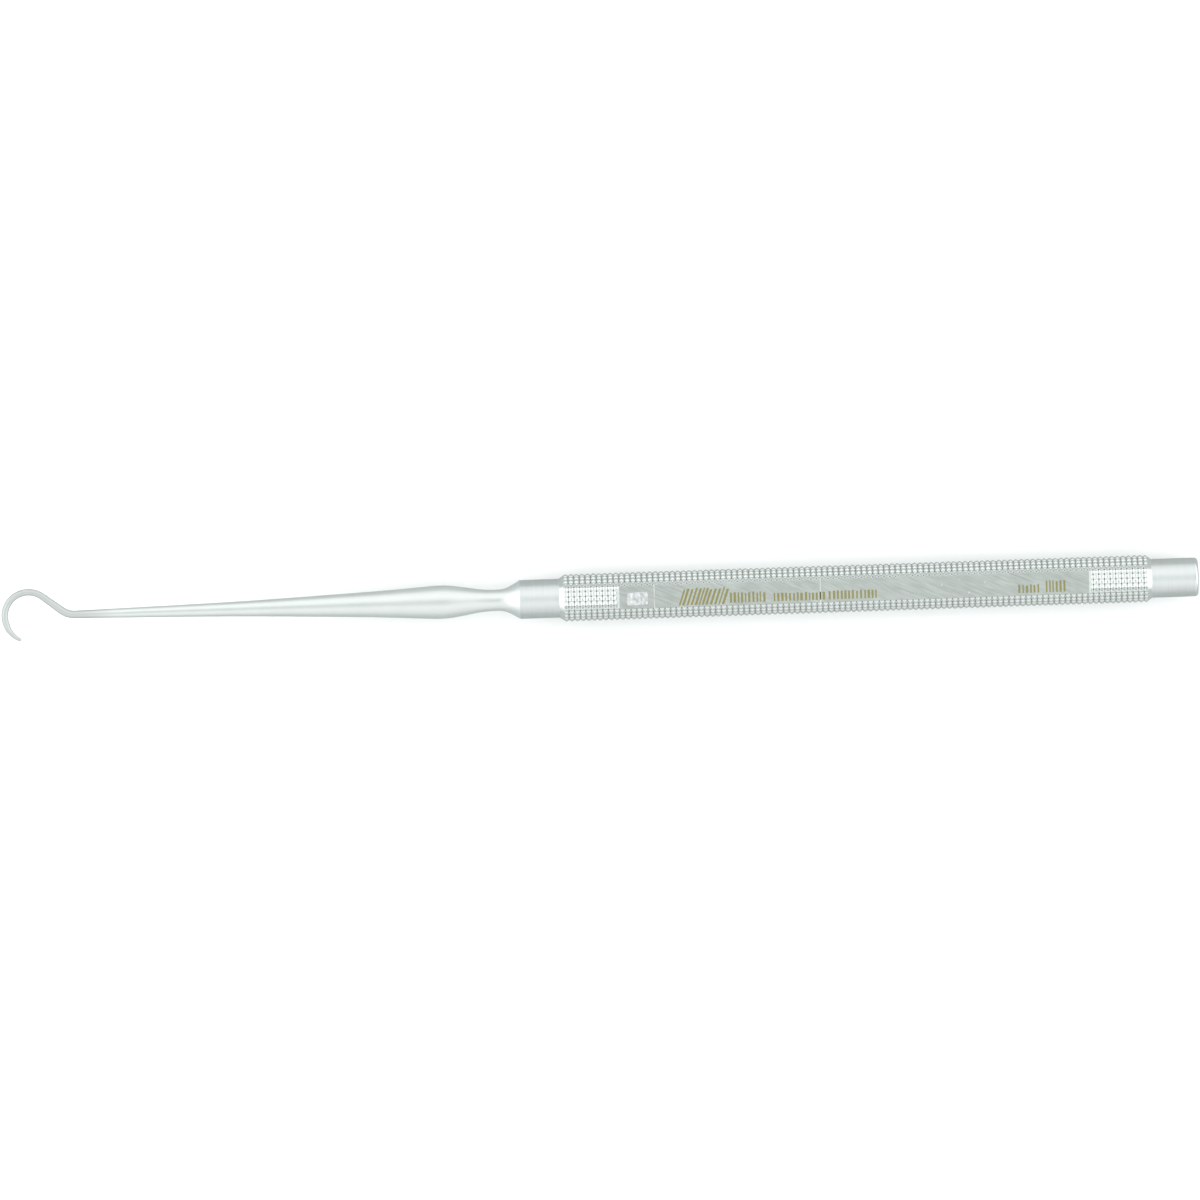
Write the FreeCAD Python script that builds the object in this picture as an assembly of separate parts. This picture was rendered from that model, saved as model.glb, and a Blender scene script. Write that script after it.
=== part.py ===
"""Hooked hand scaler with a hollow knurled handle, single ended, in millimetres.

The instrument lies along X with the hook at -X, its marking flat facing up, and the knurling
resting on the plane Z = 0. The hook lies in the horizontal plane through the handle's axis.
The grip is cross knurled. Only the lengthwise grooves of the knurl are solid here.
A forged shank carries the hook. Its tang is silver brazed into the front of a bored handle,
and a domed plug is brazed into the back of the bore.
"""

import FreeCAD, Part

import math
import os

from FreeCAD import Vector

# Driving dimensions: handle
overall_length = 170.0
knurl_diameter = 6.7
knurl_length = 82.4
knurl_groove_count = 28
knurl_groove_depth = 0.29
knurl_land_width = 0.1
collar_diameter = 5.5
front_collar_length = 5.55
front_chamfer_length = 0.9
rear_collar_length = 6.7
rear_chamfer_length = 0.8
shoulder_fillet = 0.35
bore_diameter = 4.0

# Driving dimensions: marking flat, a recess milled across the top of the knurling
flat_length = 66.6
flat_setback = 7.65
flat_depth = 0.6
flat_end_wall_run = 0.4

# Driving dimensions: shank, with distances measured forward from the handle's front face
flare_angle = 30.0
flare_fillet = 3.7
waist_radius = 1.5
waist_distance = 4.9
waist_fillet = 17.0
swell_radius = 2.45
swell_distance = 10.6
swell_fillet = 15.0
belly_radius = 1.86
belly_distance = 20.0
belly_fillet = 300.0
knee_radius = 1.03
knee_distance = 39.9
knee_fillet = 700.0

# Driving dimensions: hook
hook_outer_radius = 3.85
wire_radius = 0.47
neck_radius = 0.54
neck_bend_radius = 3.0
neck_angle = 37.6
point_start_angle = 200.0
point_end_angle = 248.0
point_sections = 9
nose_radius = 0.24

# Driving dimensions: hidden joints
tang_length = 14.0
plug_length = 8.0
braze_gap = 0.02
braze_ring_width = 0.8
braze_ring_thickness = 0.3
braze_ring_setback = 0.8
lead_in = 0.4
plug_dome_radius = 20.0
end_rounding = 0.45

# Derived sizes
knurl_radius = knurl_diameter / 2
collar_radius = collar_diameter / 2
bore_radius = bore_diameter / 2
dome_height = plug_dome_radius - math.sqrt(plug_dome_radius**2 - bore_radius**2)
neck_turn = math.radians(neck_angle)
hook_radius = hook_outer_radius - wire_radius

# Derived places along X
rear_tip_x = overall_length / 2
rear_face_x = rear_tip_x - dome_height
rear_shoulder_x = rear_tip_x - rear_collar_length
knurl_end_x = rear_shoulder_x - rear_chamfer_length
knurl_start_x = knurl_end_x - knurl_length
front_shoulder_x = knurl_start_x - front_chamfer_length
handle_front_x = front_shoulder_x - front_collar_length
hook_centre_x = hook_outer_radius - overall_length / 2
neck_corner_x = hook_centre_x + hook_radius / math.sin(neck_turn)
neck_x = neck_corner_x + neck_bend_radius * math.tan(neck_turn / 2)

AXIS = Vector(1, 0, 0)
ORIGIN = Vector(0, 0, 0)
HANDLE_AXIS_HEIGHT = Vector(0, 0, knurl_radius)


def outline_point(x, radius):
    """A point of a turned outline, drawn below the axis so that the seams stay off the flat."""
    return Vector(x, 0, -radius)


def rounded_run(corners):
    """Edges through (x, radius, fillet) corners, each inner corner rounded by a tangent arc."""
    points = [outline_point(x, radius) for x, radius, _ in corners]
    edges = []
    start = points[0]
    for before, corner, after, (_, _, fillet) in zip(points, points[1:], points[2:], corners[1:]):
        if fillet == 0:
            edges.append(Part.LineSegment(start, corner).toShape())
            start = corner
            continue
        back = (before - corner).normalize()
        onward = (after - corner).normalize()
        half = back.getAngle(onward) / 2
        reach = fillet / math.tan(half)
        middle = corner + (back + onward).normalize() * (fillet / math.sin(half) - fillet)
        arc_start = corner + back * reach
        arc_end = corner + onward * reach
        edges.append(Part.LineSegment(start, arc_start).toShape())
        edges.append(Part.Arc(arc_start, middle, arc_end).toShape())
        start = arc_end
    edges.append(Part.LineSegment(start, points[-1]).toShape())
    return edges


def turned(edges):
    """The solid that a closed outline sweeps round the X axis."""
    face = Part.Face(Part.Wire(edges))
    return face.revolve(ORIGIN, AXIS, 360)


def knurl_cutter():
    """Sleeve round the grip whose hole has the section of the knurl's lengthwise grooves."""
    land_half_turn = math.asin(knurl_land_width / knurl_diameter)
    root_radius = knurl_radius - knurl_groove_depth
    points = []
    for groove in range(knurl_groove_count):
        crest_turn = 2 * math.pi * groove / knurl_groove_count
        root_turn = crest_turn + math.pi / knurl_groove_count
        for turn, radius in (
            (crest_turn - land_half_turn, knurl_radius),
            (crest_turn + land_half_turn, knurl_radius),
            (root_turn, root_radius),
        ):
            y = radius * math.cos(turn)
            z = radius * math.sin(turn)
            points.append(Vector(front_shoulder_x, y, z))
    length = rear_shoulder_x - front_shoulder_x
    toothed_bar = Part.Face(Part.makePolygon([*points, points[0]])).extrude(AXIS * length)
    sleeve = Part.makeCylinder(2 * knurl_radius, length, Vector(front_shoulder_x, 0, 0), AXIS)
    return sleeve.cut(toothed_bar)


def make_handle_tube():
    """Bored handle: smooth collar, knurled grip with the milled flat, smooth rear collar."""
    blank_excess = 0.3
    front_run = front_chamfer_length * blank_excess / (knurl_radius - collar_radius)
    rear_run = rear_chamfer_length * blank_excess / (knurl_radius - collar_radius)
    blank_radius = knurl_radius + blank_excess
    blank = turned(rounded_run([
        (rear_face_x, bore_radius, 0),
        (handle_front_x, bore_radius, 0),
        (handle_front_x, collar_radius, 0),
        (front_shoulder_x, collar_radius, shoulder_fillet),
        (knurl_start_x + front_run, blank_radius, 0),
        (knurl_end_x - rear_run, blank_radius, 0),
        (rear_shoulder_x, collar_radius, shoulder_fillet),
        (rear_face_x, collar_radius, end_rounding),
        (rear_face_x, bore_radius, 0),
    ]))
    return blank.cut([knurl_cutter(), flat_cutter()])


def flat_cutter():
    """Prism that mills the marking flat, with end walls that lean outwards."""
    middle_x = knurl_start_x + flat_setback + flat_length / 2
    floor_z = knurl_radius - flat_depth
    over_cut = 1.0
    lean = flat_end_wall_run / flat_depth
    top_half = flat_length / 2 + lean * (flat_depth + over_cut)
    section = Part.makePolygon([
        Vector(middle_x - flat_length / 2, -knurl_radius, floor_z),
        Vector(middle_x + flat_length / 2, -knurl_radius, floor_z),
        Vector(middle_x + top_half, -knurl_radius, knurl_radius + over_cut),
        Vector(middle_x - top_half, -knurl_radius, knurl_radius + over_cut),
        Vector(middle_x - flat_length / 2, -knurl_radius, floor_z),
    ])
    return Part.Face(section).extrude(Vector(0, knurl_diameter, 0))


def braze_groove(mouth_x, inward):
    """Corners of the groove for a braze ring, met from the mouth of the bore inwards."""
    spigot_radius = bore_radius - braze_gap
    floor_radius = bore_radius - braze_ring_thickness
    near_x = mouth_x + inward * braze_ring_setback
    far_x = near_x + inward * braze_ring_width
    return [
        (near_x, spigot_radius, 0),
        (near_x, floor_radius, 0),
        (far_x, floor_radius, 0),
        (far_x, spigot_radius, 0),
    ]


def make_braze_ring(mouth_x, inward):
    """Silver braze ring that fills its groove out to the wall of the bore."""
    near_x = mouth_x + inward * braze_ring_setback
    outer = Part.makeCylinder(bore_radius, braze_ring_width, Vector(near_x, 0, 0), AXIS * inward)
    hole_radius = bore_radius - braze_ring_thickness
    hole = Part.makeCylinder(hole_radius, braze_ring_width, Vector(near_x, 0, 0), AXIS * inward)
    return outer.cut(hole)


def make_turned_shank():
    """Tapered shank with its finger swell, waist and flare, and the tang behind the flare."""
    flare_corner_x = handle_front_x - (collar_radius - waist_radius) / math.tan(math.radians(flare_angle))
    spigot_radius = bore_radius - braze_gap
    tang_end_x = handle_front_x + tang_length
    corners = [
        (neck_x, 0, 0),
        (neck_x, neck_radius, 0),
        (handle_front_x - knee_distance, knee_radius, knee_fillet),
        (handle_front_x - belly_distance, belly_radius, belly_fillet),
        (handle_front_x - swell_distance, swell_radius, swell_fillet),
        (handle_front_x - waist_distance, waist_radius, waist_fillet),
        (flare_corner_x, waist_radius, flare_fillet),
        (handle_front_x, collar_radius, 0),
        (handle_front_x, spigot_radius, 0),
        *braze_groove(handle_front_x, 1),
        (tang_end_x - lead_in, spigot_radius, 0),
        (tang_end_x, spigot_radius - lead_in, 0),
        (tang_end_x, 0, 0),
        (neck_x, 0, 0),
    ]
    return turned(rounded_run(corners))


def cross_section(x, y, heading, radius):
    """Disc square to a centreline that passes (x, y) and heads the given way, in degrees."""
    disc = Part.Face(Part.Wire(Part.makeCircle(radius, ORIGIN, AXIS)))
    disc.rotate(ORIGIN, AXIS, -90)
    disc.rotate(ORIGIN, Vector(0, 0, 1), heading)
    disc.translate(Vector(x, y, 0))
    return disc


def place_on_hook(angle, reach):
    """Point at an angle round the hook's centre, in degrees, and a distance from it."""
    x = hook_centre_x + reach * math.cos(math.radians(angle))
    y = reach * math.sin(math.radians(angle))
    return x, y


def make_neck():
    """Bend and straight leg that take the wire off the shank's axis up to the hook."""
    bend_start = cross_section(neck_x, 0, 180, neck_radius)
    bend = bend_start.revolve(Vector(neck_x, neck_bend_radius, 0), Vector(0, 0, -1), neck_angle)
    leg_x = neck_x - neck_bend_radius * math.sin(neck_turn)
    leg_y = neck_bend_radius * (1 - math.cos(neck_turn))
    end_x, end_y = place_on_hook(90 - neck_angle, hook_radius)
    run = Vector(end_x - leg_x, end_y - leg_y, 0)
    leg = Part.makeCone(neck_radius, wire_radius, run.Length, Vector(leg_x, leg_y, 0), run)
    return bend.fuse(leg)


def make_hook():
    """Round of even wire, then the tapering point with its rounded nose."""
    first_angle = 90 - neck_angle
    start = cross_section(*place_on_hook(first_angle, hook_radius), first_angle + 90, wire_radius)
    hook_centre = Vector(hook_centre_x, 0, 0)
    even_part = start.revolve(hook_centre, Vector(0, 0, 1), point_start_angle - first_angle)

    sections = []
    for step in range(point_sections):
        share = step / (point_sections - 1)
        angle = point_start_angle + share * (point_end_angle - point_start_angle)
        radius = wire_radius - share * (wire_radius - nose_radius)
        x, y = place_on_hook(angle, hook_outer_radius - radius)
        sections.append(cross_section(x, y, angle + 90, radius).OuterWire)
    point = Part.makeLoft(sections, True, False)

    nose_arc = Part.Arc(
        outline_point(0, nose_radius),
        outline_point(nose_radius * math.sin(math.pi / 4), nose_radius * math.cos(math.pi / 4)),
        outline_point(nose_radius, 0),
    )
    nose = turned([
        Part.LineSegment(ORIGIN, outline_point(0, nose_radius)).toShape(),
        nose_arc.toShape(),
        Part.LineSegment(outline_point(nose_radius, 0), ORIGIN).toShape(),
    ])
    nose.rotate(ORIGIN, Vector(0, 0, 1), point_end_angle + 90)
    nose.translate(Vector(x, y, 0))
    return even_part.fuse([point, nose])


def make_hook_shank():
    """One forged piece: hook, neck, shank, flare and tang."""
    return make_turned_shank().fuse([make_neck(), make_hook()]).removeSplitter()


def make_end_plug():
    """Plug that closes the rear of the bore, with a low dome at the end of the handle."""
    spigot_radius = bore_radius - braze_gap
    inner_x = rear_face_x - plug_length
    rim_x = rear_tip_x - (plug_dome_radius - math.sqrt(plug_dome_radius**2 - spigot_radius**2))
    corners = [
        (rear_tip_x, 0, 0),
        (inner_x, 0, 0),
        (inner_x, spigot_radius - lead_in, 0),
        (inner_x + lead_in, spigot_radius, 0),
        *reversed(braze_groove(rear_face_x, -1)),
        (rim_x, spigot_radius, 0),
    ]
    edges = rounded_run(corners)
    dome_middle = outline_point(
        rear_tip_x - (plug_dome_radius - math.sqrt(plug_dome_radius**2 - (spigot_radius / 2) ** 2)),
        spigot_radius / 2,
    )
    dome = Part.Arc(outline_point(rim_x, spigot_radius), dome_middle, outline_point(rear_tip_x, 0))
    return turned([*edges, dome.toShape()])


def export(name, shape):
    """Stands one sub-part on the plane Z = 0 with the rest and writes its STEP file."""
    shape.translate(HANDLE_AXIS_HEIGHT)
    shape.exportStep(os.path.join("parts", name + ".step"))
    box = shape.optimalBoundingBox()
    print(name, "valid" if shape.isValid() else "INVALID", len(shape.Solids), "solid,",
          len(shape.Faces), "faces,", round(shape.Volume, 2), "mm3,",
          "X", round(box.XMin, 2), round(box.XMax, 2),
          "Y", round(box.YMin, 2), round(box.YMax, 2),
          "Z", round(box.ZMin, 2), round(box.ZMax, 2))


os.makedirs("parts", exist_ok=True)
export("hook_shank", make_hook_shank())
export("front_braze_ring", make_braze_ring(handle_front_x, 1))
export("handle_tube", make_handle_tube())
export("rear_braze_ring", make_braze_ring(rear_face_x, -1))
export("end_plug", make_end_plug())
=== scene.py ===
"""Looks for the hooked hand scaler: crossed knurl, etched flat, satin shank, plain light tent."""

import math
import random

import bmesh
import bpy
from mathutils import Matrix, Vector


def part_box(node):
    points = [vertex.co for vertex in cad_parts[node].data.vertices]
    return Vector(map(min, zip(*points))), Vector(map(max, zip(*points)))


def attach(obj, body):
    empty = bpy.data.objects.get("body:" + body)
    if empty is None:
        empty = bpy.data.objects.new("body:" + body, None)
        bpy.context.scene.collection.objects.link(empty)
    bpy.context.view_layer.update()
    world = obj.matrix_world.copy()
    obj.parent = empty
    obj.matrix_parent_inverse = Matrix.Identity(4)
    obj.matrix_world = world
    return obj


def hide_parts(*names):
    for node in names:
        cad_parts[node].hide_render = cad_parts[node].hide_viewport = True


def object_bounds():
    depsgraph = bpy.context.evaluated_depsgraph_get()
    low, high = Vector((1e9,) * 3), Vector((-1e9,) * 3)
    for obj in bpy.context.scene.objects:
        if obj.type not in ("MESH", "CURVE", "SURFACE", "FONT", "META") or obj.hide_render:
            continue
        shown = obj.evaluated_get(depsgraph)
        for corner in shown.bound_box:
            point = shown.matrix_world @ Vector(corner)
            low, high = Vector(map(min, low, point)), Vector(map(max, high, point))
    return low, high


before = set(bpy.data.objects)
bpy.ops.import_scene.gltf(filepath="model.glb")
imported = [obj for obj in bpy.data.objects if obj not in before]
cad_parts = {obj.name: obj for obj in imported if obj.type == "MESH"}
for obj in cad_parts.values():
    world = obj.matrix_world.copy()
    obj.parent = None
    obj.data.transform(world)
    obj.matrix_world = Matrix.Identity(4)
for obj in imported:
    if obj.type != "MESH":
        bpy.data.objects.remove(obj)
cad_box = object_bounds()

MM = 0.001
rng = random.Random(41)

# Handle sizes in millimetres, the same as the CAD model's
tube_low, tube_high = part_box("handle_tube")
AXIS_HEIGHT = (tube_high[2] + tube_low[2]) / 2 / MM
KNURL_RADIUS = (tube_high[2] - tube_low[2]) / 2 / MM
FRONT_X = tube_low[0] / MM
REAR_X = tube_high[0] / MM
COLLAR_RADIUS = 2.75
BORE_RADIUS = 2.0
FRONT_COLLAR = 5.55
FRONT_CHAMFER = 0.9
REAR_COLLAR = 6.6
REAR_CHAMFER = 0.8
SHOULDER_FILLET = 0.35
END_ROUNDING = 0.45
FLAT_LENGTH = 66.6
FLAT_SETBACK = 7.65
FLAT_DEPTH = 0.6
FLAT_WALL_RUN = 0.4
KNURL_START_X = FRONT_X + FRONT_COLLAR + FRONT_CHAMFER
KNURL_END_X = REAR_X - REAR_COLLAR - REAR_CHAMFER
FLAT_START_X = KNURL_START_X + FLAT_SETBACK
FLAT_HEIGHT = AXIS_HEIGHT + KNURL_RADIUS - FLAT_DEPTH

# Knurl teeth, in millimetres. A profile runs from a land's edge down to the groove's floor, as
# distances from the tooth's middle and drops from its land.
RING_PITCH = 0.8
RING_OFFSET = 0.04
RING_PROFILE = ((0.1, 0.0), (0.395, 0.214))
LENGTHWISE_GROOVES = 28
LENGTHWISE_PROFILE = ((0.1, 0.0), (0.36, 0.136))

# Shank sizes in millimetres, the same as the CAD model's, with distances forward of the handle
FLARE_ANGLE = math.radians(30)
FLARE_FILLET = 3.7
WAIST_RADIUS, WAIST_DISTANCE, WAIST_FILLET = 1.5, 4.9, 17.0
SWELL_RADIUS, SWELL_DISTANCE, SWELL_FILLET = 2.45, 10.6, 15.0
BELLY_RADIUS, BELLY_DISTANCE, BELLY_FILLET = 1.86, 20.0, 300.0
KNEE_RADIUS, KNEE_DISTANCE, KNEE_FILLET = 1.03, 39.9, 700.0
HOOK_OUTER_RADIUS = 3.85
WIRE_RADIUS = 0.47
NECK_RADIUS = 0.54
NECK_BEND_RADIUS = 3.0
NECK_TURN = math.radians(37.6)
POINT_START = math.radians(200)
POINT_END = math.radians(248)
NOSE_RADIUS = 0.24
TANG_LENGTH = 14.0
SPIGOT_RADIUS = 1.98
LEAD_IN = 0.4
BRAZE_SETBACK, BRAZE_WIDTH, BRAZE_THICKNESS = 0.8, 0.8, 0.3
PLUG_LENGTH = 8.0
PLUG_DOME_RADIUS = 20.0


# ---------------------------------------------------------------- materials
# Grain and drift that all the metals share
NOISE_ROUGHNESS = 0.6
GRAIN_DETAIL = 3.0
DRIFT_PER_METRE = 260.0
DRIFT_SHARE = 0.35
DARK_STOP, LIGHT_STOP = 0.3, 0.7
BUMP_HEIGHT = 0.00002
QUARTER_TURN = 0.25

# Painted shade toward the hook (darker colour, duller roughness), in metres from the tang's end
HOOK_SHADE_START, HOOK_SHADE_END = 0.07, 0.077
HOOK_SHADE_DARKENING, HOOK_DULLING = 0.2, 0.07

# Painted shade in the knurl's pits (darker colour, duller roughness), by the share of each groove's
# depth at which it starts and is full
RING_PIT_SHADE_START, RING_PIT_SHADE_FULL = 0.5, 0.9
LENGTHWISE_PIT_SHADE_START, LENGTHWISE_PIT_SHADE_FULL = 0.3, 0.8
PIT_SHADE_DARKENING, PIT_DULLING = 0.75, 0.2


class Nodes:
    """Short helper for building one node tree."""

    def __init__(self, tree):
        self.tree = tree

    def add(self, kind, inputs=None, **settings):
        node = self.tree.nodes.new(kind)
        for key, value in settings.items():
            setattr(node, key, value)
        for key, value in (inputs or {}).items():
            self.set(node.inputs[key], value)
        return node

    def set(self, socket, value):
        if isinstance(value, bpy.types.NodeSocket):
            self.tree.links.new(value, socket)
        else:
            socket.default_value = value

    def math(self, operation, a, b=0.0, c=0.0):
        return self.add("ShaderNodeMath", {0: a, 1: b, 2: c}, operation=operation).outputs[0]

    def smooth_step(self, value, start, end, low, high):
        return self.add("ShaderNodeMapRange", {
            "Value": value, "From Min": start, "From Max": end, "To Min": low, "To Max": high,
        }, interpolation_type="SMOOTHSTEP").outputs[0]

    def ramp(self, fac, stops):
        node = self.add("ShaderNodeValToRGB", {"Fac": fac})
        for element, (place, colour) in zip(node.color_ramp.elements, stops):
            element.position = place
            element.color = (*colour, 1.0)
        return node.outputs["Color"]

    def noise(self, vector, scale, detail=2.0):
        """Noise with the given number of features per metre."""
        return self.add("ShaderNodeTexNoise", {
            "Vector": vector, "Scale": scale, "Detail": detail, "Roughness": NOISE_ROUGHNESS,
        }).outputs["Fac"]

    def grained(self, vector, grain, turn=0.0):
        """Coordinates turned about Z, then scaled to the given number of features per metre."""
        return self.add("ShaderNodeMapping", {
            "Vector": vector, "Rotation": (0.0, 0.0, turn), "Scale": [1 / lines for lines in grain],
        }, vector_type="TEXTURE").outputs["Vector"]

    def scaled(self, colour, factor):
        return self.add("ShaderNodeVectorMath", {0: colour, "Scale": factor},
                        operation="SCALE").outputs[0]

    def coordinates(self):
        return self.add("ShaderNodeTexCoord").outputs["Object"]

    def surface_notes(self):
        """The vector that skin() keeps for each vertex."""
        return self.add("ShaderNodeAttribute", attribute_name="surface_notes").outputs["Vector"]


def steel(name, grain, base, rough, bump, turn=0.0, contrast=0.07, anisotropic=0.0, zone=None,
          along_wire=False):
    """Stainless steel whose colour, roughness and bump follow one grain.

    grain is the number of grain lines per metre along each axis, and rough is the lowest and
    highest roughness. The colour also drifts a little from place to place. With along_wire, the
    grain's first axis follows the shank round its bends.
    """
    material = bpy.data.materials.new(name)
    material.use_nodes = True
    material.node_tree.nodes.clear()
    nodes = Nodes(material.node_tree)
    coords = nodes.surface_notes() if along_wire else nodes.coordinates()
    fine = nodes.noise(nodes.grained(coords, grain, turn), 1.0, GRAIN_DETAIL)
    broad = nodes.noise(coords, DRIFT_PER_METRE)
    low, high = rough
    mixed = nodes.math("MULTIPLY_ADD", broad, DRIFT_SHARE,
                       nodes.math("MULTIPLY", fine, 1 - DRIFT_SHARE))
    shade = nodes.ramp(mixed, [
        (DARK_STOP, [value * (1 - contrast) for value in base]),
        (LIGHT_STOP, [value * (1 + contrast) for value in base]),
    ])
    roughness = nodes.math("MULTIPLY_ADD", mixed, high - low, low)
    # A zone paints shade into the colour (the knurl's pits, the hook's end) and dulls the roughness
    # there.
    if zone:
        tone, dulling = zone(nodes, coords)
        shade = nodes.scaled(shade, tone)
        roughness = nodes.math("ADD", roughness, dulling)
    normal = nodes.add("ShaderNodeBump", {
        "Strength": bump, "Distance": BUMP_HEIGHT, "Height": fine,
    })
    settings = {
        "Base Color": shade,
        "Metallic": 1.0,
        "Roughness": roughness,
        "Normal": normal.outputs["Normal"],
        "Anisotropic": anisotropic,
    }
    if anisotropic:
        round_x = nodes.add("ShaderNodeTangent", direction_type="RADIAL", axis="X")
        settings["Tangent"] = round_x.outputs["Tangent"]
        settings["Anisotropic Rotation"] = QUARTER_TURN
    bsdf = nodes.add("ShaderNodeBsdfPrincipled", settings)
    nodes.add("ShaderNodeOutputMaterial", {"Surface": bsdf.outputs["BSDF"]})
    return material


def hook_painted_shade(nodes, coords):
    """Painted shade: a little darker, and duller, toward the hook."""
    along = nodes.add("ShaderNodeSeparateXYZ", {"Vector": coords}).outputs["X"]
    on_hook = nodes.smooth_step(along, HOOK_SHADE_START, HOOK_SHADE_END, 0.0, 1.0)
    # Painted shade: the colour is darkened toward the hook.
    tone = nodes.math("MULTIPLY_ADD", on_hook, -HOOK_SHADE_DARKENING, 1.0)
    return tone, nodes.math("MULTIPLY", on_hook, HOOK_DULLING)


def pit_painted_shade(nodes, coords):
    """Painted shade: darkens and dulls the pits where the knurl's grooves cross."""
    depths = nodes.add("ShaderNodeSeparateXYZ", {"Vector": nodes.surface_notes()})
    ring = nodes.smooth_step(depths.outputs["X"], RING_PIT_SHADE_START, RING_PIT_SHADE_FULL, 0.0, 1.0)
    lengthwise = nodes.smooth_step(depths.outputs["Y"], LENGTHWISE_PIT_SHADE_START,
                                   LENGTHWISE_PIT_SHADE_FULL, 0.0, 1.0)
    pit = nodes.math("MULTIPLY", ring, lengthwise)
    # Painted shade: the colour is darkened in the pits.
    tone = nodes.math("MULTIPLY_ADD", pit, -PIT_SHADE_DARKENING, 1.0)
    return tone, nodes.math("MULTIPLY", pit, PIT_DULLING)


STEEL = (0.635, 0.66, 0.645)
# The shank's colour carries painted shade toward the hook.
shank_steel = steel("shank_satin_steel", grain=(1200, 9000, 9000), base=STEEL, rough=(0.34, 0.46),
                    bump=0.05, contrast=0.04, zone=hook_painted_shade, along_wire=True)
collar_steel = steel("collar_turned_steel", grain=(14000, 300, 300), base=(0.64, 0.665, 0.66),
                     rough=(0.42, 0.54), bump=0.2, anisotropic=0.9)
# The knurl's colour carries painted shade in its pits.
knurl_steel = steel("knurl_rolled_steel", grain=(3000, 3000, 3000), base=(0.6, 0.625, 0.61),
                    rough=(0.14, 0.26), bump=0.08, zone=pit_painted_shade)
flat_steel = steel("flat_ground_steel", grain=(350, 3200, 350), base=(0.61, 0.635, 0.62),
                   rough=(0.18, 0.32), bump=0.2, turn=math.radians(-24), contrast=0.12)
plug_steel = steel("plug_turned_steel", grain=(6000, 6000, 6000), base=STEEL, rough=(0.25, 0.4),
                   bump=0.1)
braze = steel("silver_braze", grain=(3000, 3000, 3000), base=(0.72, 0.68, 0.55), rough=(0.3, 0.5),
              bump=0.2)
mark_bronze = steel("etched_bronze", grain=(9000, 9000, 9000), base=(0.29, 0.27, 0.12),
                    rough=(0.4, 0.6), bump=0.3)
mark_frost = steel("frosted_etch", grain=(2600, 1300, 2600), base=(0.68, 0.7, 0.7),
                   rough=(0.6, 0.9), bump=0.9, contrast=0.4)


# ---------------------------------------------------------------- mesh helpers
SIDES = 64
TURNED_EDGE = 25
KNURL_EDGE = 20
EVEN = 1e-6


def rounded_outline(corners, arc_step=math.radians(7), longest=1.0):
    """Points through (x, radius, fillet) corners: arcs at the fillets, even steps on the runs."""
    places = [Vector((x, radius)) for x, radius, _ in corners]
    key_points = [places[0]]
    for before, corner, after, (_, _, fillet) in zip(places, places[1:], places[2:], corners[1:]):
        if not fillet:
            key_points.append(corner)
            continue
        back = (before - corner).normalized()
        onward = (after - corner).normalized()
        half = back.angle(onward) / 2
        centre = corner + (back + onward).normalized() * fillet / math.sin(half)
        first = corner + back * fillet / math.tan(half) - centre
        turn = math.copysign(math.pi - 2 * half, first.x * onward.y - first.y * onward.x)
        steps = max(3, math.ceil(abs(turn) / arc_step))
        for step in range(steps + 1):
            angle = turn * step / steps
            key_points.append(centre + Matrix.Rotation(angle, 2) @ first)
    key_points.append(places[-1])
    points = [key_points[0]]
    for start, end in zip(key_points, key_points[1:]):
        steps = max(1, math.ceil((end - start).length / longest))
        points += [start.lerp(end, (step + 1) / steps) for step in range(steps)]
    return points


def round_ring(x, y, heading, radius):
    """Circle of vertices square to a line that passes (x, y) with the given heading."""
    ring = []
    for index in range(SIDES):
        turn = 2 * math.pi * index / SIDES
        out = radius * math.cos(turn)
        ring.append((x - out * math.sin(heading), y + out * math.cos(heading),
                     AXIS_HEIGHT + radius * math.sin(turn)))
    return ring


def split_quad(bm, quad, tall):
    """Adds a quad as two triangles that share its most uneven diagonal, or whole if it is even."""
    a, b, c, d = tall
    if abs(a + c - b - d) < EVEN:
        bm.faces.new(quad)
    elif abs(a - c) > abs(b - d):
        bm.faces.new((quad[0], quad[1], quad[2]))
        bm.faces.new((quad[0], quad[2], quad[3]))
    else:
        bm.faces.new((quad[1], quad[2], quad[3]))
        bm.faces.new((quad[1], quad[3], quad[0]))


def skin(name, rings, closed_loop=False, notes=None):
    """Closed mesh over rings of points in millimetres. A ring of one point is a pole.

    notes holds one vector per point, which the mesh keeps as its "surface_notes" attribute.
    """
    bm = bmesh.new()
    layer = bm.verts.layers.float_vector.new("surface_notes")
    made = [[bm.verts.new(Vector(point) * MM) for point in ring] for ring in rings]
    if notes:
        for ring, ring_notes in zip(made, notes):
            for vert, note in zip(ring, ring_notes):
                vert[layer] = note
    heights = [[math.hypot(y, z - AXIS_HEIGHT) for _, y, z in ring] for ring in rings]
    if closed_loop:
        made.append(made[0])
        heights.append(heights[0])
    for ring, following, high, high_after in zip(made, made[1:], heights, heights[1:]):
        count = max(len(ring), len(following))
        for index in range(count):
            onward = (index + 1) % count
            if len(ring) == 1:
                bm.faces.new((ring[0], following[index], following[onward]))
            elif len(following) == 1:
                bm.faces.new((ring[index], following[0], ring[onward]))
            else:
                quad = (ring[index], following[index], following[onward], ring[onward])
                tall = (high[index], high_after[index], high_after[onward], high[onward])
                split_quad(bm, quad, tall)
    bmesh.ops.recalc_face_normals(bm, faces=bm.faces)
    mesh = bpy.data.meshes.new(name)
    bm.to_mesh(mesh)
    bm.free()
    piece = bpy.data.objects.new(name, mesh)
    bpy.context.scene.collection.objects.link(piece)
    return piece


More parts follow.
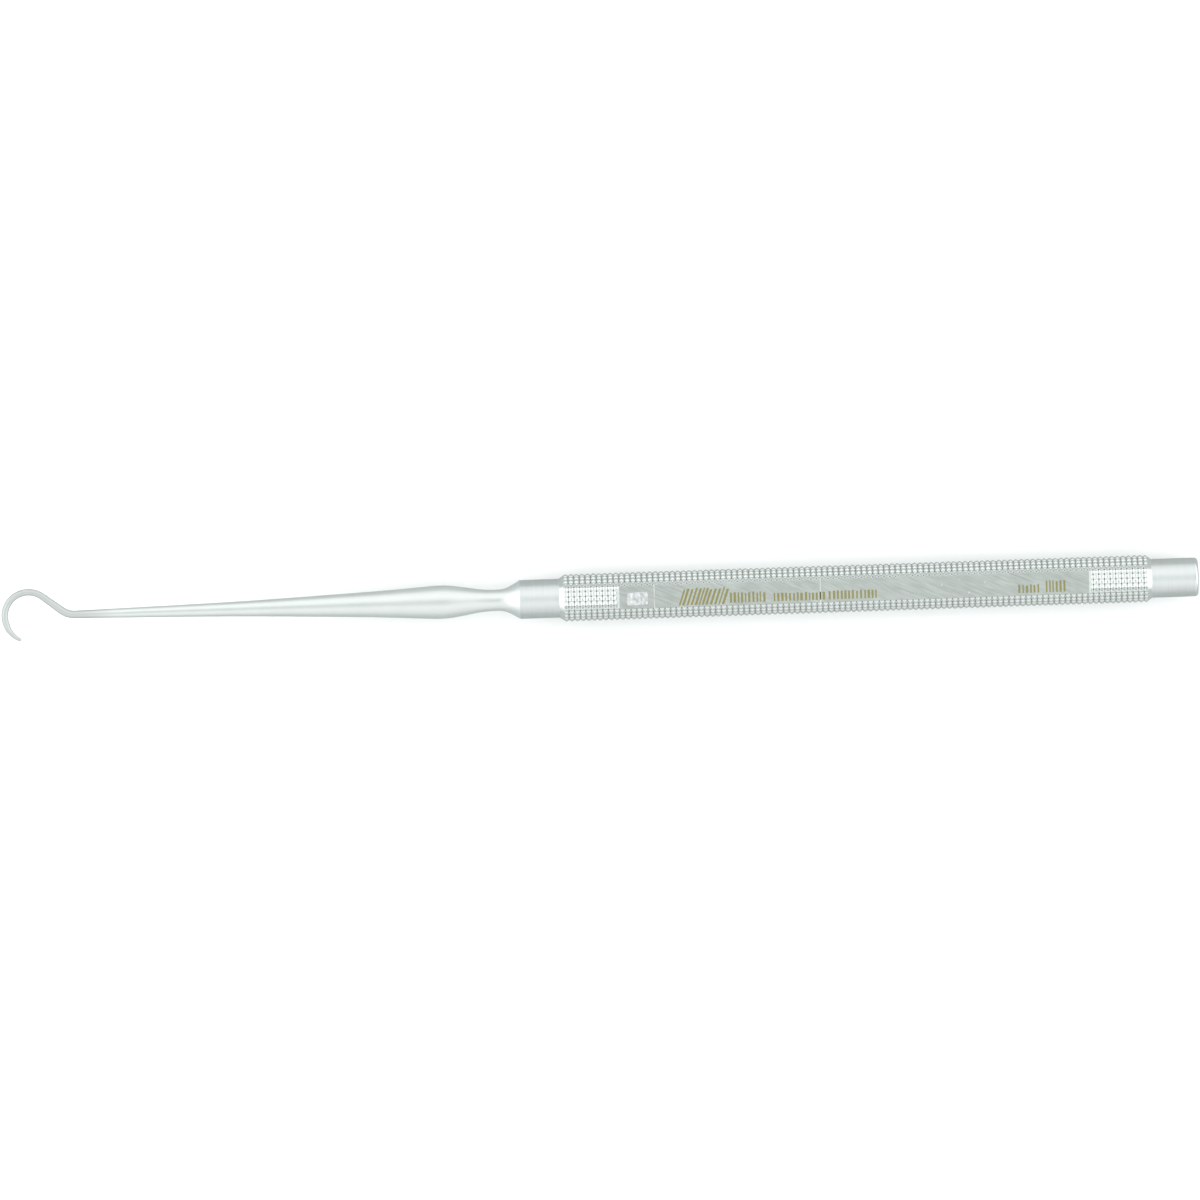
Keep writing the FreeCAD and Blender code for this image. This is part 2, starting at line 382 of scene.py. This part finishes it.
def shade_by_angle(piece, degrees):
    """Smooth shading, with edges kept sharp where faces turn by more than the angle."""
    piece.data.shade_smooth()
    piece.data.set_sharp_from_angle(angle=math.radians(degrees))


# ---------------------------------------------------------------- hook and shank
SHANK_ARC_STEP = math.radians(3)
NECK_STEPS = 12
LEG_STEPS = 8
HOOK_STEPS = 80
NOSE_STEPS = 6
DOME_STEPS = 8


def place_on_hook(angle, reach):
    """Point at the given angle round the hook's centre and the given distance from it."""
    centre_x = cad_box[0][0] / MM + HOOK_OUTER_RADIUS
    return centre_x + reach * math.cos(angle), reach * math.sin(angle)


def braze_groove(mouth_x, inward):
    """Outline corners of the square groove for a braze ring, from the bore's mouth inwards."""
    near_x = mouth_x + inward * BRAZE_SETBACK
    far_x = near_x + inward * BRAZE_WIDTH
    floor = BORE_RADIUS - BRAZE_THICKNESS
    return [(near_x, SPIGOT_RADIUS, 0), (near_x, floor, 0),
            (far_x, floor, 0), (far_x, SPIGOT_RADIUS, 0)]


def shank_stations():
    """Centreline stations (x, y, heading, radius) from the tang's end to the hook's nose."""
    hook_reach = HOOK_OUTER_RADIUS - WIRE_RADIUS
    hook_x, _ = place_on_hook(0, 0)
    corner_x = hook_x + hook_reach / math.sin(NECK_TURN)
    neck_x = corner_x + NECK_BEND_RADIUS * math.tan(NECK_TURN / 2)
    tang_end_x = FRONT_X + TANG_LENGTH
    flare_corner_x = FRONT_X - (COLLAR_RADIUS - WAIST_RADIUS) / math.tan(FLARE_ANGLE)
    outline = rounded_outline([
        (tang_end_x, SPIGOT_RADIUS - LEAD_IN, 0),
        (tang_end_x - LEAD_IN, SPIGOT_RADIUS, 0),
        *reversed(braze_groove(FRONT_X, 1)),
        (FRONT_X, SPIGOT_RADIUS, 0),
        (FRONT_X, COLLAR_RADIUS, 0),
        (flare_corner_x, WAIST_RADIUS, FLARE_FILLET),
        (FRONT_X - WAIST_DISTANCE, WAIST_RADIUS, WAIST_FILLET),
        (FRONT_X - SWELL_DISTANCE, SWELL_RADIUS, SWELL_FILLET),
        (FRONT_X - BELLY_DISTANCE, BELLY_RADIUS, BELLY_FILLET),
        (FRONT_X - KNEE_DISTANCE, KNEE_RADIUS, KNEE_FILLET),
        (neck_x, NECK_RADIUS, 0),
    ], arc_step=SHANK_ARC_STEP)
    stations = [(x, 0.0, math.pi, radius) for x, radius in outline]

    for step in range(1, NECK_STEPS + 1):
        angle = NECK_TURN * step / NECK_STEPS
        stations.append((neck_x - NECK_BEND_RADIUS * math.sin(angle),
                         NECK_BEND_RADIUS * (1 - math.cos(angle)), math.pi - angle, NECK_RADIUS))
    leg_x, leg_y, heading, _ = stations[-1]
    first_angle = math.pi / 2 - NECK_TURN
    end_x, end_y = place_on_hook(first_angle, hook_reach)
    for step in range(1, LEG_STEPS + 1):
        share = step / LEG_STEPS
        stations.append((leg_x + share * (end_x - leg_x), leg_y + share * (end_y - leg_y), heading,
                         NECK_RADIUS + share * (WIRE_RADIUS - NECK_RADIUS)))
    for step in range(1, HOOK_STEPS + 1):
        angle = first_angle + (POINT_END - first_angle) * step / HOOK_STEPS
        share = max(0.0, (angle - POINT_START) / (POINT_END - POINT_START))
        radius = WIRE_RADIUS - share * (WIRE_RADIUS - NOSE_RADIUS)
        x, y = place_on_hook(angle, HOOK_OUTER_RADIUS - radius)
        stations.append((x, y, angle + math.pi / 2, radius))
    nose_x, nose_y, heading, _ = stations[-1]
    for step in range(1, NOSE_STEPS + 1):
        angle = math.pi / 2 * step / NOSE_STEPS
        reach = NOSE_RADIUS * math.sin(angle)
        radius = NOSE_RADIUS * math.cos(angle) if step < NOSE_STEPS else 0.0
        stations.append((nose_x + reach * math.cos(heading), nose_y + reach * math.sin(heading),
                         heading, radius))
    return stations


def make_shank():
    """Forged hook and shank with its tang, round in every section.

    Its surface notes are the shank as if unbent: X from the tang's end, Y and Z across it.
    """
    stations = shank_stations()
    last_x, last_y = stations[0][:2]
    rings = [[(last_x, last_y, AXIS_HEIGHT)]]
    notes = [[(0.0, 0.0, 0.0)]]
    along = 0.0
    for x, y, heading, radius in stations:
        along += math.hypot(x - last_x, y - last_y)
        last_x, last_y = x, y
        if radius:
            rings.append(round_ring(x, y, heading, radius))
            unbent = round_ring(along, 0.0, 0.0, radius)
        else:
            rings.append([(x, y, AXIS_HEIGHT)])
            unbent = [(along, 0.0, AXIS_HEIGHT)]
        notes.append([Vector(point) * MM for point in unbent])
    shank = skin("hook_and_shank", rings, notes=notes)
    shank.data.materials.append(shank_steel)
    shade_by_angle(shank, TURNED_EDGE)
    return shank


def make_plug():
    """Turned plug at the rear of the bore, with its low dome."""
    plug_face_x = cad_box[1][0] / MM
    inner_x = REAR_X - PLUG_LENGTH
    dome = []
    for step in range(DOME_STEPS + 1):
        radius = SPIGOT_RADIUS * (1 - step / DOME_STEPS)
        sag = PLUG_DOME_RADIUS - math.sqrt(PLUG_DOME_RADIUS**2 - radius**2)
        dome.append((plug_face_x - sag, radius))
    outline = rounded_outline([
        (inner_x, SPIGOT_RADIUS - LEAD_IN, 0),
        (inner_x + LEAD_IN, SPIGOT_RADIUS, 0),
        *reversed(braze_groove(REAR_X, -1)),
        (*dome[0], 0),
    ])
    rings = [[(inner_x, 0.0, AXIS_HEIGHT)]]
    rings += [round_ring(x, 0.0, 0.0, radius) for x, radius in outline + dome[1:-1]]
    rings.append([(plug_face_x, 0.0, AXIS_HEIGHT)])
    plug = skin("domed_end_plug", rings)
    plug.data.materials.append(plug_steel)
    shade_by_angle(plug, TURNED_EDGE)
    return plug


# ---------------------------------------------------------------- knurled handle
FRONT_EDGE_ROUNDING = 0.03
COLLAR_STEP = 0.4
CUTTER_HEADROOM = 1.0


def tooth_lines(profile):
    """Offsets and drops of the lines across a whole tooth, from one groove to the next."""
    return [(-offset, drop) for offset, drop in reversed(profile)] + list(profile)


def make_handle():
    """Bored handle, revolved, with the crossed knurl as real teeth.

    Its surface notes are the shares of the two grooves' full depths: X ring, Y lengthwise.
    """
    tooth_turn = 2 * math.pi / LENGTHWISE_GROOVES
    around = []
    for index in range(LENGTHWISE_GROOVES):
        middle = math.pi / 2 + index * tooth_turn
        for offset, drop in tooth_lines(LENGTHWISE_PROFILE):
            around.append((middle + offset / KNURL_RADIUS, drop))

    front = rounded_outline([
        (FRONT_X, BORE_RADIUS, 0),
        (FRONT_X, COLLAR_RADIUS, FRONT_EDGE_ROUNDING),
        (FRONT_X + FRONT_COLLAR, COLLAR_RADIUS, SHOULDER_FILLET),
        (KNURL_START_X, KNURL_RADIUS, 0),
    ], longest=COLLAR_STEP)
    rear = rounded_outline([
        (KNURL_END_X, KNURL_RADIUS, 0),
        (REAR_X - REAR_COLLAR, COLLAR_RADIUS, SHOULDER_FILLET),
        (REAR_X, COLLAR_RADIUS, END_ROUNDING),
        (REAR_X, BORE_RADIUS, 0),
    ], longest=COLLAR_STEP)
    stations = [(x, radius, 0.0) for x, radius in front]
    for index in range(math.ceil((KNURL_END_X - KNURL_START_X) / RING_PITCH) + 1):
        middle = KNURL_START_X + RING_OFFSET + index * RING_PITCH
        for offset, drop in tooth_lines(RING_PROFILE):
            if KNURL_START_X < middle + offset < KNURL_END_X:
                stations.append((middle + offset, KNURL_RADIUS, drop))
    stations += [(x, radius, 0.0) for x, radius in rear]

    rings = []
    notes = []
    ring_depth = RING_PROFILE[-1][1]
    lengthwise_depth = LENGTHWISE_PROFILE[-1][1]
    for x, outline_radius, ring_drop in stations:
        ring = []
        for turn, groove_drop in around:
            radius = min(outline_radius, KNURL_RADIUS - max(ring_drop, groove_drop))
            ring.append((x, radius * math.cos(turn), AXIS_HEIGHT + radius * math.sin(turn)))
        rings.append(ring)
        notes.append([(ring_drop / ring_depth, drop / lengthwise_depth, 0.0) for _, drop in around])
    return skin("knurled_handle", rings, closed_loop=True, notes=notes)


def make_flat_cutter():
    """Prism whose floor and leaning ends mill the marking flat."""
    end_x = FLAT_START_X + FLAT_LENGTH
    height = FLAT_DEPTH + CUTTER_HEADROOM
    lean = FLAT_WALL_RUN / FLAT_DEPTH * height
    top = FLAT_HEIGHT + height
    outline = [(FLAT_START_X, FLAT_HEIGHT), (end_x, FLAT_HEIGHT),
               (end_x + lean, top), (FLAT_START_X - lean, top)]
    half_width = 2 * KNURL_RADIUS
    verts = [(x * MM, side * half_width * MM, z * MM) for side in (-1, 1) for x, z in outline]
    faces = [(0, 1, 2, 3), (7, 6, 5, 4), (0, 4, 5, 1), (1, 5, 6, 2), (2, 6, 7, 3), (3, 7, 4, 0)]
    mesh = bpy.data.meshes.new("flat_cutter")
    mesh.from_pydata(verts, [], faces)
    cutter = bpy.data.objects.new("flat_cutter", mesh)
    bpy.context.scene.collection.objects.link(cutter)
    return cutter


def mill_flat(handle):
    """Cuts the flat out of the handle and leaves the cut faces their own material."""
    cutter = make_flat_cutter()
    materials = [knurl_steel, collar_steel, flat_steel]
    for thing in (handle, cutter):
        for material in materials:
            thing.data.materials.append(material)
    front_end = FRONT_X + FRONT_COLLAR
    rear_start, rear_end = REAR_X - REAR_COLLAR, REAR_X - END_ROUNDING
    for face in handle.data.polygons:
        middle = face.center.x / MM
        on_collar = middle < front_end or rear_start < middle < rear_end
        face.material_index = materials.index(collar_steel if on_collar else knurl_steel)
    for face in cutter.data.polygons:
        face.material_index = materials.index(flat_steel)
    modifier = handle.modifiers.new("flat", "BOOLEAN")
    modifier.operation = "DIFFERENCE"
    modifier.solver = "MANIFOLD"
    modifier.object = cutter
    evaluated = handle.evaluated_get(bpy.context.evaluated_depsgraph_get())
    cut = bpy.data.meshes.new_from_object(evaluated)
    handle.modifiers.clear()
    handle.data = cut
    bpy.data.objects.remove(cutter)


# ---------------------------------------------------------------- etched marks
# All in millimetres on the flat, as seen from above
MARK_RISE = 0.006
MARK_ROOT = 0.02

# Blocks of bars: start, length, base, height and slant
BAR_BLOCKS = (
    (11.1, 6.2, -1.4, 2.5, 0.35), (18.4, 5.3, -1.25, 1.5, 0.0), (24.6, 7.0, -1.25, 1.2, 0.0),
    (32.4, 6.8, -1.25, 1.25, 0.0), (59.3, 3.1, -1.25, 1.2, 0.0), (63.2, 2.7, -1.25, 1.7, 0.0),
)
BAR_WIDTHS = (0.2, 0.36)
BAR_GAPS = (0.2, 0.32)
BAR_FILL = (0.86, 1.0)

HAIRLINES = (7.65, 31.2)
HAIRLINE_WIDTH = 0.09
HAIRLINE_REACH = 1.7
NICKS = ((48.4, 0.1), (52.2, -1.1), (54.5, 0.35), (50.9, 0.8))
NICK_WIDTHS = (0.1, 0.22)
NICK_HEIGHTS = (0.2, 0.6)
NICK_SKEW = 0.1
NICK_TIP = 0.6

PATCH_MIDDLE = (5.3, -0.2)
PATCH_HALF = (1.5, 0.95)
PATCH_POINTS = 40
PATCH_RAGGED = (0.9, 1.04)
PATCH_SQUARENESS = -0.8


def add_slab(bm, outline):
    """Thin closed slab on the marking flat with the given outline in X and Y, in millimetres."""
    low, high = FLAT_HEIGHT - MARK_ROOT, FLAT_HEIGHT + MARK_RISE
    bottom = [bm.verts.new(Vector((x, y, low)) * MM) for x, y in outline]
    top = [bm.verts.new(Vector((x, y, high)) * MM) for x, y in outline]
    bm.faces.new(bottom)
    bm.faces.new(top)
    count = len(outline)
    for index in range(count):
        onward = (index + 1) % count
        bm.faces.new((bottom[index], bottom[onward], top[onward], top[index]))


def finish_marks(name, bm, material):
    """One object of all the slabs in bm, in one material."""
    bmesh.ops.recalc_face_normals(bm, faces=bm.faces)
    mesh = bpy.data.meshes.new(name)
    bm.to_mesh(mesh)
    bm.free()
    mesh.materials.append(material)
    marks = bpy.data.objects.new(name, mesh)
    bpy.context.scene.collection.objects.link(marks)
    return marks


def make_bar_marks():
    """Blocks of plain upright bars where an instrument carries its marking: no lettering."""
    bm = bmesh.new()
    for start, length, base, height, slant in BAR_BLOCKS:
        x = start
        while x < start + length:
            width = rng.uniform(*BAR_WIDTHS)
            top = base + height * rng.uniform(*BAR_FILL)
            lean = slant * (top - base)
            add_slab(bm, [(x, base), (x + width, base), (x + width + lean, top), (x + lean, top)])
            x += width + rng.uniform(*BAR_GAPS)
    return finish_marks("etched_bars", bm, mark_bronze)


def make_frosted_patch():
    """Frosted spots on the flat: a ragged patch, two hairlines across it and a few nicks."""
    bm = bmesh.new()
    for x in HAIRLINES:
        far_x = x + HAIRLINE_WIDTH
        add_slab(bm, [(x, -HAIRLINE_REACH), (far_x, -HAIRLINE_REACH),
                      (far_x, HAIRLINE_REACH), (x, HAIRLINE_REACH)])
    for x, y in NICKS:
        width, height = rng.uniform(*NICK_WIDTHS), rng.uniform(*NICK_HEIGHTS)
        add_slab(bm, [(x, y), (x + width, y + NICK_SKEW), (x + NICK_TIP * width, y + height)])
    outline = []
    for index in range(PATCH_POINTS):
        turn = 2 * math.pi * index / PATCH_POINTS
        out_x, out_y = math.cos(turn), math.sin(turn)
        ragged = rng.uniform(*PATCH_RAGGED)
        reach = max(abs(out_x), abs(out_y)) ** PATCH_SQUARENESS * ragged
        outline.append((PATCH_MIDDLE[0] + PATCH_HALF[0] * out_x * reach,
                        PATCH_MIDDLE[1] + PATCH_HALF[1] * out_y * reach))
    add_slab(bm, outline)
    return finish_marks("frosted_patch", bm, mark_frost)


# ---------------------------------------------------------------- floor, light and camera
CAMERA_TILT = math.radians(4.4)
CAMERA_ROLL = math.radians(1.92)
CAMERA_DISTANCE = 2.0
CAMERA_BELOW_AXIS = 0.00045
FRAME_WIDTH = 0.1703
SENSOR_WIDTH = 36.0
CLIP_START, CLIP_END = 0.01, 20.0

FLOOR_HALF_SIZE = 3.0
FLOOR_SEEN = (0.94, 0.94, 0.94, 1.0)
FLOOR_REFLECTED = (0.55, 0.57, 0.56, 1.0)

# The tent's brightness, by the angle from the middle of the hole overhead
HOLE_START, HOLE_END = math.radians(11), math.radians(26)
HOLE_BRIGHTNESS = 0.51
SIDE_START, SIDE_END = math.radians(42), math.radians(95)
SIDE_BRIGHTNESS = 0.85
TENT_BRIGHTNESS = 1.46
FAR_SIDE_GAIN = 0.15

# The panels at both ends, by how far the direction leans to X, and to either side
PANEL_START, PANEL_FULL = 0.58, 0.84
PANEL_BRIGHTNESS = 0.75
PANEL_NEAR_EDGE = (-0.7, -0.4)
PANEL_FAR_EDGE = (0.62, 0.9)
HOLE_TINT = (0.93, 1.0, 0.96)
TENT_TINT = (0.975, 1.0, 1.0)


def make_floor():
    """Plain pale floor. It lights the object as if it were a little greyer than it looks."""
    size = FLOOR_HALF_SIZE
    mesh = bpy.data.meshes.new("floor")
    mesh.from_pydata([(-size, -size, 0), (size, -size, 0), (size, size, 0), (-size, size, 0)], [],
                     [(0, 1, 2, 3)])
    floor = bpy.data.objects.new("floor", mesh)
    bpy.context.scene.collection.objects.link(floor)
    material = bpy.data.materials.new("pale_floor")
    material.use_nodes = True
    material.node_tree.nodes.clear()
    nodes = Nodes(material.node_tree)
    seen = nodes.add("ShaderNodeBsdfDiffuse", {"Color": FLOOR_SEEN})
    reflected = nodes.add("ShaderNodeBsdfDiffuse", {"Color": FLOOR_REFLECTED})
    path = nodes.add("ShaderNodeLightPath")
    mix = nodes.add("ShaderNodeMixShader", {
        "Fac": path.outputs["Is Camera Ray"], 1: reflected.outputs[0], 2: seen.outputs[0],
    })
    nodes.add("ShaderNodeOutputMaterial", {"Surface": mix.outputs[0]})
    mesh.materials.append(material)


def make_world():
    """Light tent: bright panels at both ends, softer long sides, a darker hole overhead."""
    world = bpy.data.worlds.new("light_tent")
    bpy.context.scene.world = world
    world.use_nodes = True
    world.node_tree.nodes.clear()
    nodes = Nodes(world.node_tree)
    direction = nodes.add("ShaderNodeTexCoord").outputs["Generated"]
    split = nodes.add("ShaderNodeSeparateXYZ", {"Vector": direction})
    x, y, z = (split.outputs[axis] for axis in "XYZ")
    toward_hole = nodes.math("MULTIPLY_ADD", y, math.sin(CAMERA_TILT),
                             nodes.math("MULTIPLY", z, math.cos(CAMERA_TILT)))
    angle = nodes.math("ARCCOSINE", toward_hole)
    hole = nodes.smooth_step(angle, HOLE_START, HOLE_END, HOLE_BRIGHTNESS, 1.0)
    side_fall = nodes.smooth_step(angle, SIDE_START, SIDE_END, 1.0, SIDE_BRIGHTNESS)
    lean = nodes.math("MULTIPLY_ADD", y, FAR_SIDE_GAIN, TENT_BRIGHTNESS)
    tent = nodes.math("MULTIPLY", nodes.math("MULTIPLY", hole, side_fall), lean)
    end_on = nodes.smooth_step(nodes.math("ABSOLUTE", x), PANEL_START, PANEL_FULL,
                               0.0, PANEL_BRIGHTNESS)
    centred = nodes.math("MULTIPLY", nodes.smooth_step(y, *PANEL_NEAR_EDGE, 0.0, 1.0),
                         nodes.smooth_step(y, *PANEL_FAR_EDGE, 1.0, 0.0))
    panel = nodes.math("MULTIPLY", end_on, centred)
    tint = nodes.ramp(hole, [(HOLE_BRIGHTNESS, HOLE_TINT), (1.0, TENT_TINT)])
    light = nodes.scaled(tint, nodes.math("ADD", tent, panel))
    background = nodes.add("ShaderNodeBackground", {"Color": light, "Strength": 1.0})
    nodes.add("ShaderNodeOutputWorld", {"Surface": background.outputs[0]})


def make_camera():
    """Long lens, just past straight overhead, rolled so that the handle climbs to the right."""
    data = bpy.data.cameras.new("camera")
    camera = bpy.data.objects.new("camera", data)
    bpy.context.scene.collection.objects.link(camera)
    back = Vector((0, math.sin(CAMERA_TILT), math.cos(CAMERA_TILT)))
    up = Vector((0, math.cos(CAMERA_TILT), -math.sin(CAMERA_TILT)))
    turn = Matrix.Rotation(-CAMERA_ROLL, 3, back)
    right, up = turn @ up.cross(back), turn @ up
    aim = Vector((0, 0, AXIS_HEIGHT * MM)) - up * CAMERA_BELOW_AXIS
    turned = Matrix((right, up, back)).transposed().to_4x4()
    camera.matrix_world = Matrix.Translation(aim + back * CAMERA_DISTANCE) @ turned
    data.sensor_width = SENSOR_WIDTH
    data.lens = SENSOR_WIDTH * CAMERA_DISTANCE / FRAME_WIDTH
    data.clip_start = CLIP_START
    data.clip_end = CLIP_END
    bpy.context.scene.camera = camera


# ---------------------------------------------------------------- the model
shank = make_shank()
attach(shank, "root")
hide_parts("hook_shank")

handle = make_handle()
mill_flat(handle)
shade_by_angle(handle, KNURL_EDGE)
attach(handle, "root")
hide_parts("handle_tube")

plug = make_plug()
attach(plug, "root")
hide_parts("end_plug")

for marks in (make_bar_marks(), make_frosted_patch()):
    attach(marks, "root")

for node in ("front_braze_ring", "rear_braze_ring"):
    for material_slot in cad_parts[node].material_slots:
        material_slot.material = braze

make_floor()
make_world()
make_camera()
bpy.context.scene.view_settings.view_transform = "Standard"
